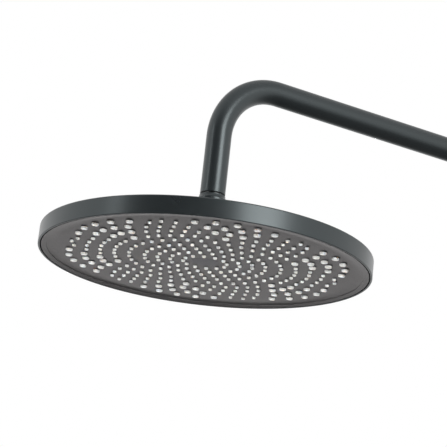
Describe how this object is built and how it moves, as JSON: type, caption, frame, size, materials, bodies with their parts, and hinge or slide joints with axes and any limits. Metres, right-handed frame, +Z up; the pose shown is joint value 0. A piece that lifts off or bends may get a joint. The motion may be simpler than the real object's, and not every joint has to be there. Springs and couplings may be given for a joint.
{
  "type": "overhead rain shower",
  "caption": "Round overhead spray head on a friction ball joint, hung from a bent tubular wall arm with a round cover flange.",
  "frame": {"origin": "centre of the arm's wall thread in the plane of the wall", "axes": "+Y out of the room into the wall along the arm, +Z up, +X to the left of someone who faces the room with their back to the wall"},
  "size_m": [0.26, 0.5475, 0.187],
  "materials": {
    "coated_metal": "satin anthracite coat",
    "coated_shell": "satin anthracite coat",
    "face_grey": "fine matt, warm mid grey",
    "cap_grey": "fine matt, bare",
    "silicone": "off-white silicone",
    "black_rubber": "black sealing rubber",
    "brass": "turned brass",
    "steel": "stainless steel",
    "grey_resin": "moulded grey resin"
  },
  "bodies": {
    "arm": {"arm_tube": "coated_metal", "wall_nipple": "brass", "arm_end_bush": "brass", "ball_stem": "steel", "stem_oring": "black_rubber", "flow_regulator": "grey_resin", "filter_screen": "steel"},
    "flange": {"wall_flange": "coated_metal", "flange_oring": "black_rubber"},
    "liner": {"ball_liner": "grey_resin"},
    "head": {"neck_collar": "coated_metal", "ball_socket": "brass", "ball_seal": "black_rubber", "socket_gasket": "black_rubber", "head_shell": "coated_shell", "chamber_plate": "grey_resin", "inlet_oring": "black_rubber", "chamber_oring": "black_rubber", "face_screws": "steel", "nozzle_mat": "silicone", "face_plate": "face_grey", "centre_screw": "steel", "screw_washer": "black_rubber", "centre_cap": "cap_grey"}
  },
  "joints": [
    {"name": "head_turn", "type": "hinge", "parent": "arm", "child": "liner", "pos_m": [0, -0.4, -0.111], "axis": [0, 0, 1], "continuous": true},
    {"name": "head_tilt", "type": "hinge", "parent": "liner", "child": "head", "pos_m": [0, -0.4, -0.111], "axis": [1, 0, 0], "range_deg": [-5, 5]},
    {"name": "flange_slide", "type": "slide", "parent": "arm", "child": "flange", "axis": [0, -1, 0], "range_m": [0, 0.3]}
  ]
}
